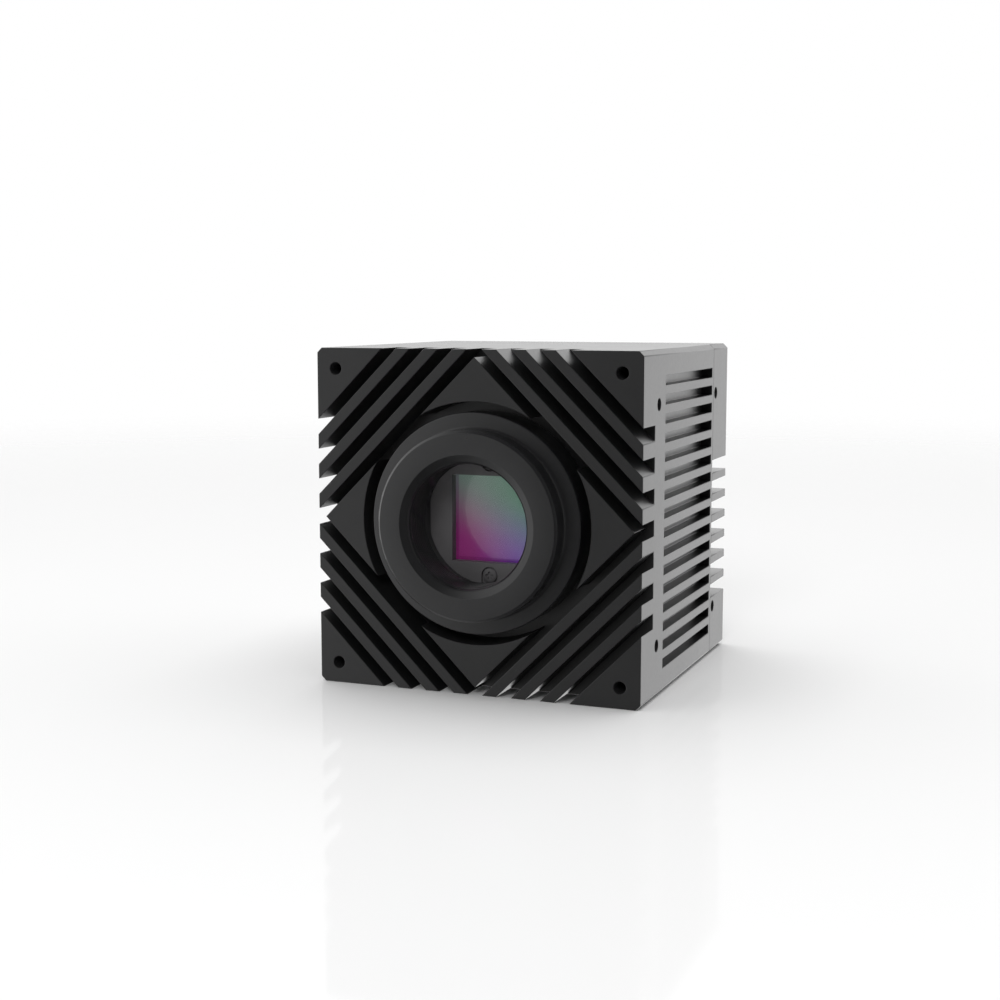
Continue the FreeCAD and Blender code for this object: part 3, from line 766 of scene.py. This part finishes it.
materials = {slot: surface(slot.title().replace("_", ""), look) for slot, look in looks.items()}
materials["board_green"] = boardMaterial(boardLook)
materials["sensor"] = sensorMaterial(sensorLook)
materials["window"] = glassMaterial("coatedWindow", 1.4, (0.98, 0.99, 0.99))
coverGlass = glassMaterial("sensorCover", 1.12, (0.99, 0.99, 0.99))
# painted light: a lighter grey copy of the black frame finish, standing in for light that does not reach the plate
# deep in the bore
aperturePaintedLightLook = {
    "colors": ((0.13, 0.125, 0.13), (0.18, 0.175, 0.18)),
    "roughness": (0.4, 0.5),
    "pits": 6500.0,
    "bump": 0.15,
}
aperturePaintedLightGrey = surface("aperturePaintedLightGrey", aperturePaintedLightLook)
print("stage: materials ready")

for row in frame["record"]["subparts"]:
    node = frame["nodes"][row["node"]]
    node.data.materials.clear()
    node.data.materials.append(materials[row["material_slot"]])
frame["nodes"]["sensor_cover_glass"].data.materials[0] = coverGlass
# the window frame takes the lighter painted-light grey in place of its black finish
frame["nodes"]["window_frame"].data.materials[0] = aperturePaintedLightGrey

makeCamera(cameraView)
makeFloor(floorLook)
for name, settings in softboxes.items():
    makeSoftbox(name, settings)
makeBackdrop(backdrop)
bpy.context.scene.view_settings.view_transform = "Standard"
print("stage: studio ready")

# ---- lens mount ----
lensMountShape = {
    "columns": 240,
    "flangeEdge": 0.25,
    "collarRadius": 19.2,
    "collarEdge": (0.5, 0.41),
    "baseFillet": 0.6,
    "softEdge": 0.06,
    "mouthEdge": 0.1,
    "mouthRadius": 14.4,
    "footRadius": 13.0,
    "mouthDepth": 0.5,
    "wall": 12.7,
    "crest": 12.45,
    "root": 13.0,
    "pitch": 25.4 / 32,
    "threadReach": (-4.0, 4.3),
    "flank": (1.5, 0.25),
    "rowsPerTurn": 10,
    "fade": 0.7,
    "relief": 13.1,
    "reliefRamp": 0.4,
    "reliefEnd": 5.5,
    "throat": 13.6,
    "throatFlat": 13.2,
    "sharp": 35,
}


def threadRadius(depth, angle, shape):
    # a triangle wave of (depth / pitch - turns), clipped to a crest and a root, faded at both ends
    phase = (column(depth) / shape["pitch"] - angle[None, :] / (2 * np.pi)) % 1
    steepness, crestShare = shape["flank"]
    wave = np.clip(np.abs(2 * phase - 1) * steepness - crestShare, 0, 1)
    start, end = shape["threadReach"]
    fade = np.clip(np.minimum(column(depth) - start, end - column(depth)) / shape["fade"], 0, 1)
    radius = shape["crest"] + (shape["root"] - shape["crest"]) * wave
    return shape["wall"] + (radius - shape["wall"]) * fade


def makeLensMount(shape):
    # one closed profile turned about the optical axis: flange, collar, mouth, thread, flatted throat
    flange = ringHigh.x / mm
    collar = (ringLow.y - frontY) / mm
    back = (ringHigh.y - frontY) / mm
    angle = circle(shape["columns"])
    start, end = shape["threadReach"]
    collarRadius = shape["collarRadius"]
    edgeWidth, edgeDepth = shape["collarEdge"]
    soft = shape["softEdge"]
    outer = filleted(
        [
            (flange, back),
            (flange, 0),
            (collarRadius, 0),
            (collarRadius, collar + edgeDepth),
            (collarRadius - edgeWidth, collar),
            (shape["mouthRadius"], collar),
            (shape["footRadius"], collar + shape["mouthDepth"]),
            (shape["wall"], start),
        ],
        [0, shape["flangeEdge"], shape["baseFillet"], soft, soft, shape["mouthEdge"], soft, 0],
    )
    turns = (end - start) / shape["pitch"]
    threadDepth = np.linspace(start, end, round(turns * shape["rowsPerTurn"]))[1:]
    flatted = shape["throatFlat"] / np.maximum(np.abs(np.cos(angle)), np.abs(np.sin(angle)))
    throat = np.minimum(shape["throat"], flatted)
    shelf = shape["reliefEnd"]
    tail = np.array([(shape["relief"], end + shape["reliefRamp"]), (shape["relief"], shelf)])
    even = np.ones(len(angle))
    thread = threadRadius(threadDepth, angle, shape)
    radius = np.concatenate(
        [column(outer[:, 0]) * even, thread, column(tail[:, 0]) * even, [throat, throat]]
    )
    depth = np.concatenate([outer[:, 1], threadDepth, tail[:, 1], [shelf, back]])
    grid = turnedPoints(radius, column(depth), angle, (0, frontY, axisZ))
    piece = meshPiece("lensMount", [gridFaces(grid, wrapRows=True, wrapColumns=True)], shape["sharp"])
    finish(piece, materials["mount_black"], ["lens_mount_ring"])


makeLensMount(lensMountShape)
print("stage: lens mount ready")

# ---- milled parts with eased edges ----
easedParts = {
    "main_housing": {"width": 0.14, "slot": "housing_black"},
    "rear_heat_sink": {"width": 0.14, "slot": "housing_black"},
    "rear_panel": {"width": 0.12, "slot": "frame_black"},
    "window_frame": {"width": 0.1, "slot": "frame_black"},
    "fan_frame": {"width": 0.25, "slot": "fan_plastic"},
    "usb_port_shell": {"width": 0.1, "slot": "connector_steel"},
    "trigger_port_shell": {"width": 0.12, "slot": "connector_steel"},
    "power_jack_body": {"width": 0.12, "slot": "socket_plastic"},
}
for node, settings in easedParts.items():
    piece = easedCopy(node, settings["width"], node.title().replace("_", "") + "Eased", easing)
    # the window frame's lighter grey is painted light for its place deep in the bore
    used = aperturePaintedLightGrey if node == "window_frame" else materials[settings["slot"]]
    finish(piece, used, [node])
print("stage: eased parts ready")

# ---- threads in the tapped holes ----
tappedShape = {
    "columns": 24,
    "outside": 1.3,
    "wall": 1.24,
    "crest": 1.1,
    "pitch": 0.5,
    "rowsPerTurn": 6,
    "inset": 0.35,
    "fade": 0.3,
    "frontLength": 6.6,
    "sideLength": 4.6,
    "frontSpacing": 61.5,
    "middle": 33.65,
    "right": (45.7, 48.4),
    "left": (47.0, 48.0),
}


def tappedThread(origin, axis, inward, length, shape):
    # a thin sleeve in the hole; its inner wall is a triangle wave of (distance / pitch - turns)
    angle = circle(shape["columns"])
    rows = round(length / shape["pitch"] * shape["rowsPerTurn"])
    along = column(np.linspace(shape["inset"], length, rows))
    phase = (along / shape["pitch"] - angle[None, :] / (2 * np.pi)) % 1
    ends = np.clip((along - shape["inset"]) / shape["fade"], 0, 1)
    inner = shape["wall"] - (shape["wall"] - shape["crest"]) * (1 - np.abs(2 * phase - 1)) * ends
    outer = np.full((2, len(angle)), shape["outside"])
    radius = np.concatenate([inner, outer])
    along = np.concatenate([along, [[length], [shape["inset"]]]])
    grid = turnedPoints(radius, inward * along, angle, origin, axis)
    return gridFaces(grid, wrapRows=True, wrapColumns=True)


def makeTappedThreads(shape):
    # four holes in the front, and four in each side at the corners of a spacing along by a spacing up
    parts = []
    half = shape["frontSpacing"] * mm / 2
    for across in (-1, 1):
        for up in (-1, 1):
            origin = (across * half, frontY, axisZ + up * half)
            parts.append(tappedThread(origin, "y", 1, shape["frontLength"], shape))
            for side, spacing in ((1, shape["right"]), (-1, shape["left"])):
                origin = (
                    side * housingHigh.x,
                    depthOf(shape["middle"] + across * spacing[0] / 2),
                    axisZ + up * spacing[1] * mm / 2,
                )
                parts.append(tappedThread(origin, "x", -side, shape["sideLength"], shape))
    piece = meshPiece("tappedThreads", parts)
    finish(piece, materials["housing_black"])


makeTappedThreads(tappedShape)
print("stage: tapped threads ready")

# ---- screws ----
fanPitch = 12.0
cornerPitch = 30.75
windowPitch = 11.7
axisUp = axisZ / mm


def fourCorners(half, up):
    # the corners of a square about (0, up)
    return [(x, up + z) for x in (-half, half) for z in (-half, half)]


screwSets = {
    "windowScrews": {
        "nodes": ["window_frame_screws"],
        "places": [(0, axisUp + windowPitch), (0, axisUp - windowPitch)],
        "seat": 8.7,
        "facing": -1,
        "shank": 0.7,
        "length": 3.2,
        "head": 1.55,
        "height": 0.9,
        "dome": 0.35,
        "recess": ("cross", 0.85, 0.3, 0.45),
    },
    "panelScrews": {
        "nodes": ["rear_panel_screws"],
        "places": [(-25, 55.3), (25, 55.3)],
        "seat": 66.1,
        "facing": 1,
        "shank": 1.0,
        "length": 5.0,
        "head": 1.9,
        "height": 0.8,
        "dome": 0.3,
        "recess": ("cross", 1.1, 0.38, 0.5),
    },
    "fanScrews": {
        "nodes": ["fan_screws"],
        "places": fourCorners(fanPitch, fanZ / mm),
        "seat": 65.0,
        "facing": 1,
        "shank": 1.0,
        "length": 12.0,
        "head": 1.9,
        "height": 1.3,
        "dome": 0.35,
        "recess": ("cross", 1.15, 0.4, 0.7),
    },
    "caseScrews": {
        "nodes": ["case_screws"],
        "places": fourCorners(cornerPitch, axisUp),
        "seat": 63.6,
        "facing": 1,
        "shank": 1.5,
        "length": 18.2,
        "head": 2.75,
        "height": 3.0,
        "dome": 0.02,
        "recess": ("hex", 1.25, 0, 1.6),
    },
}


screwShape = {
    "columns": 96,
    "rim": 0.35,  # of the head's height
    "rimDrop": 0.3,  # of the rim
    "rimRound": 0.6,  # of the rim
    "roundSteps": 6,
    "topRows": 4,
    "tip": 0.7,  # of the shank
    "tipLength": 0.4,
    "undercut": 0.1,
    "recessFloor": 0.94,  # of the recess
    "domeFrom": 0.55,  # of the head's height
    "sharp": 30,
}


def recessRadius(angle, kind, size, arm):
    # hex: apothem / cos of the angle from the nearest flat; cross: the larger of two crossed bars
    if kind == "hex":
        return size / np.cos((angle + np.pi / 6) % (np.pi / 3) - np.pi / 6)
    tiny = 1e-6
    bars = [np.minimum(size, arm / np.maximum(np.abs(f(angle)), tiny)) for f in (np.sin, np.cos)]
    return np.maximum(*bars)


def screwParts(place, settings, shape):
    # shank, underside, rounded rim, domed top h (1 - dome (r / R)^2), then the recess
    angle = circle(shape["columns"])
    even = np.ones(len(angle))
    kind, size, arm, deep = settings["recess"]
    hole = recessRadius(angle, kind, size, arm)
    head, height, dome = settings["head"], settings["height"], settings["dome"]
    shank, length = settings["shank"], settings["length"]
    rim = height * shape["rim"]
    edge = filleted(
        [(head, 0), (head, height - rim * shape["rimDrop"]), (head - rim, height)],
        [0, rim * shape["rimRound"], 0],
        shape["roundSteps"],
    )
    stem = [(shank * shape["tip"], -length), (shank, -length + shape["tipLength"])]
    stem += [(shank, 0), (head - shape["undercut"], 0)]
    stem = np.concatenate([stem, edge])
    share = np.linspace(0, 1, shape["topRows"] + 1)[1:, None]
    top = (head - rim) * (1 - share) + hole * share
    bottom = even * (height - deep)
    radius = np.concatenate([column(stem[:, 0]) * even, top, [hole * shape["recessFloor"]]])
    lift = np.concatenate([column(stem[:, 1]) * even, np.full_like(top, height), [bottom]])
    drop = dome * height * (np.minimum(radius, head) / head) ** 2
    lift = np.where(lift > height * shape["domeFrom"], lift - drop, lift)
    origin = (place[0] * mm, depthOf(settings["seat"]), place[1] * mm)
    grid = turnedPoints(radius, settings["facing"] * lift, angle, origin)
    return gridFaces(grid, wrapColumns=True, capStart=True, capEnd=True)


for name, settings in screwSets.items():
    parts = [screwParts(place, settings, screwShape) for place in settings["places"]]
    piece = meshPiece(name, parts, screwShape["sharp"])
    # the window screws take the same painted-light grey as their frame
    used = aperturePaintedLightGrey if name == "windowScrews" else materials["black_screw"]
    finish(piece, used, settings["nodes"])
print("stage: screws ready")

# ---- fan ----
rotorShape = {
    "blades": 7,
    "rows": 12,
    "chordPoints": 14,
    "reach": (7.5, 13.6),
    "depth": (58.12, 63.48),
    "inset": 0.15,
    "sweep": 6.2,
    "camber": 1.1,
    "skew": 0.32,
    "skewPower": 1.5,
    "thickness": 0.8,
    "edgeShare": 0.25,
    "taper": (4, 0.02),
    "lean": 0.6,
    "bore": 1.03,
    "step": 6.2,
    "stepEdge": 6.45,
    "cup": (7.24, 7.8),
    "capFloor": 63.0,
    "capTop": 63.55,
    "crown": 63.8,
    "skirt": 58.2,
    "hubEdges": (0.6, 0.1),
    "columns": 96,
    "sharp": 35,
}


def bladeGrid(base, shape):
    # rows along the radius; each section is a strip with tangent = sweep (c - 1/2) + camber sin(pi c)
    radius = column(np.linspace(*shape["reach"], shape["rows"]))
    share = (1 - np.cos(np.linspace(0, np.pi, shape["chordPoints"]))) / 2
    low, high = shape["depth"]
    arch = np.sin(np.pi * share)
    tangent = shape["sweep"] * (share - 0.5) + shape["camber"] * arch
    run = shape["sweep"] + shape["camber"] * np.pi * np.cos(np.pi * share)
    rise = np.full_like(run, high - low - 2 * shape["inset"])
    size = np.hypot(run, rise)
    slope, least = shape["taper"]
    belly = shape["edgeShare"] + (1 - shape["edgeShare"]) * arch
    shift = shape["thickness"] * belly * np.clip(arch * slope, least, 1) / 2
    axial = low + shape["inset"] + rise * share
    lean = shape["lean"]
    upper = (tangent - rise / size * shift, axial + run / size * shift * lean)
    lower = (tangent + rise / size * shift, axial - run / size * shift * lean)
    loopTangent = np.concatenate([upper[0], lower[0][::-1][1:-1]])
    loopAxial = np.clip(np.concatenate([upper[1], lower[1][::-1][1:-1]]), low, high)
    start, end = shape["reach"]
    skew = shape["skew"] * ((radius - start) / (end - start)) ** shape["skewPower"]
    angle = base + skew + loopTangent[None, :] / radius
    grid = np.empty(angle.shape + (3,))
    grid[..., 0] = radius * np.cos(angle) * mm
    grid[..., 1] = depthOf(loopAxial)[None, :]
    grid[..., 2] = fanZ + radius * np.sin(angle) * mm
    return grid


def makeFanRotor(shape):
    # a cup turned about the fan's axis, with its open side towards the camera, and the blades round it
    inside, outside = shape["cup"]
    crownEdge, skirtEdge = shape["hubEdges"]
    hub = filleted(
        [
            (shape["bore"], shape["capTop"]),
            (shape["step"], shape["capTop"]),
            (shape["stepEdge"], shape["crown"]),
            (outside, shape["crown"]),
            (outside, shape["skirt"]),
            (inside, shape["skirt"]),
            (inside, shape["capFloor"]),
            (shape["bore"], shape["capFloor"]),
        ],
        [0, 0, 0, crownEdge, skirtEdge, 0, 0, 0],
    )
    angle = circle(shape["columns"])
    origin = (0, frontY, fanZ)
    grid = turnedPoints(column(hub[:, 0]), column(hub[:, 1]), angle, origin)
    parts = [gridFaces(grid, wrapRows=True, wrapColumns=True)]
    for base in circle(shape["blades"]):
        parts.append(gridFaces(bladeGrid(base, shape), wrapColumns=True, capStart=True, capEnd=True))
    piece = meshPiece("fanRotor", parts, shape["sharp"])
    finish(piece, materials["fan_plastic"], ["fan_rotor"], rotorBody)


guardShape = {
    "rings": (4.4, 7.6, 10.8, 14.0),
    "wire": 0.39,
    "middle": 64.6,
    "eye": 2.0,
    "wireSides": 12,
    "ringSteps": 120,
    "sharp": 60,
}


def wireRing(radius, centre, shape):
    # a torus: a small circle of the wire carried round the ring
    wire = shape["wire"]
    turn = column(circle(shape["wireSides"]))
    angle = circle(shape["ringSteps"])
    grid = turnedPoints(radius + wire * np.cos(turn), wire * np.sin(turn), angle, centre)
    return gridFaces(grid, wrapRows=True, wrapColumns=True)


def wireRod(start, end, shape):
    # a round rod between two points
    start, end = np.asarray(start), np.asarray(end)
    along = (end - start) / np.linalg.norm(end - start)
    side = np.cross(along, (0, 1, 0))
    angle = column(circle(shape["wireSides"]))
    ring = shape["wire"] * mm * (np.cos(angle) * side + np.sin(angle) * np.array((0, 1, 0)))
    grid = np.stack([start + ring, end + ring])
    return gridFaces(grid, wrapColumns=True, capStart=True, capEnd=True)


def makeFanGuard(shape):
    # rings about the fan's axis, an eye round each screw and a rod from each eye to the smallest ring
    middle = np.array((0, depthOf(shape["middle"]), fanZ))
    parts = [wireRing(radius, middle, shape) for radius in shape["rings"]]
    for x in (-1, 1):
        for z in (-1, 1):
            corner = middle + np.array((x, 0, z)) * fanPitch * mm
            inwards = (middle - corner) / (fanPitch * mm * math.sqrt(2))
            parts.append(wireRing(shape["eye"], corner, shape))
            outer = corner + inwards * shape["eye"] * mm
            inner = middle - inwards * shape["rings"][0] * mm
            parts.append(wireRod(outer, inner, shape))
    piece = meshPiece("fanGuard", parts, shape["sharp"])
    finish(piece, materials["black_screw"], ["fan_guard"])


makeFanRotor(rotorShape)
makeFanGuard(guardShape)
print("stage: fan ready")

# ---- contacts in the sockets ----
contactShape = {
    "usbX": -14.0,
    "socketZ": 55.3,
    "barPlaces": (-1.25, 1.25),
    "barHalf": 0.5,
    "barThick": 0.12,
    "barDepth": (58.2, 64.6),
    "barLevels": (-0.2, -3.4),
    "triggerX": 2.0,
    "pinCircle": 2.3,
    "pinRadius": 0.46,
    "pinTip": 64.3,
    "pinFoot": 60.0,
    "pinAngles": (54, 117, 180, 243, 306),
    "pinRound": 0.8,  # of the pin's radius
    "pinFlat": 0.05,
    "roundSteps": 6,
    "columns": 20,
}


def boxPart(low, high):
    # a closed box between two corners
    low, high = np.asarray(low), np.asarray(high)
    pick = np.array([(x, y, z) for x in (0, 1) for y in (0, 1) for z in (0, 1)])
    faces = [[0, 1, 3, 2], [4, 6, 7, 5], [0, 4, 5, 1], [2, 3, 7, 6], [0, 2, 6, 4], [1, 5, 7, 3]]
    return low + (high - low) * pick, faces


def makeContacts(shape):
    # flat bars on the tongue of the data socket, and a ring of round-ended pins in the other one
    parts = []
    near, far = [depthOf(value) for value in shape["barDepth"]]
    for across in shape["barPlaces"]:
        x = (shape["usbX"] + across) * mm
        for level in shape["barLevels"]:
            z = (shape["socketZ"] + level) * mm
            half, thick = shape["barHalf"] * mm, shape["barThick"] * mm
            parts.append(boxPart((x - half, near, z - thick), (x + half, far, z + thick)))
    tip, foot, radius = shape["pinTip"], shape["pinFoot"], shape["pinRadius"]
    profile = filleted(
        [(radius, foot), (radius, tip), (shape["pinFlat"], tip)],
        [0, radius * shape["pinRound"], 0],
        shape["roundSteps"],
    )
    for degrees in shape["pinAngles"]:
        turn = math.radians(degrees)
        x = shape["triggerX"] + shape["pinCircle"] * math.cos(turn)
        z = shape["socketZ"] + shape["pinCircle"] * math.sin(turn)
        angle = circle(shape["columns"])
        origin = (x * mm, frontY, z * mm)
        grid = turnedPoints(column(profile[:, 0]), column(profile[:, 1]), angle, origin)
        parts.append(gridFaces(grid, wrapColumns=True, capStart=True, capEnd=True))
    piece = meshPiece("socketContacts", parts)
    finish(piece, materials["contact_gold"])


makeContacts(contactShape)
print("stage: contacts ready")
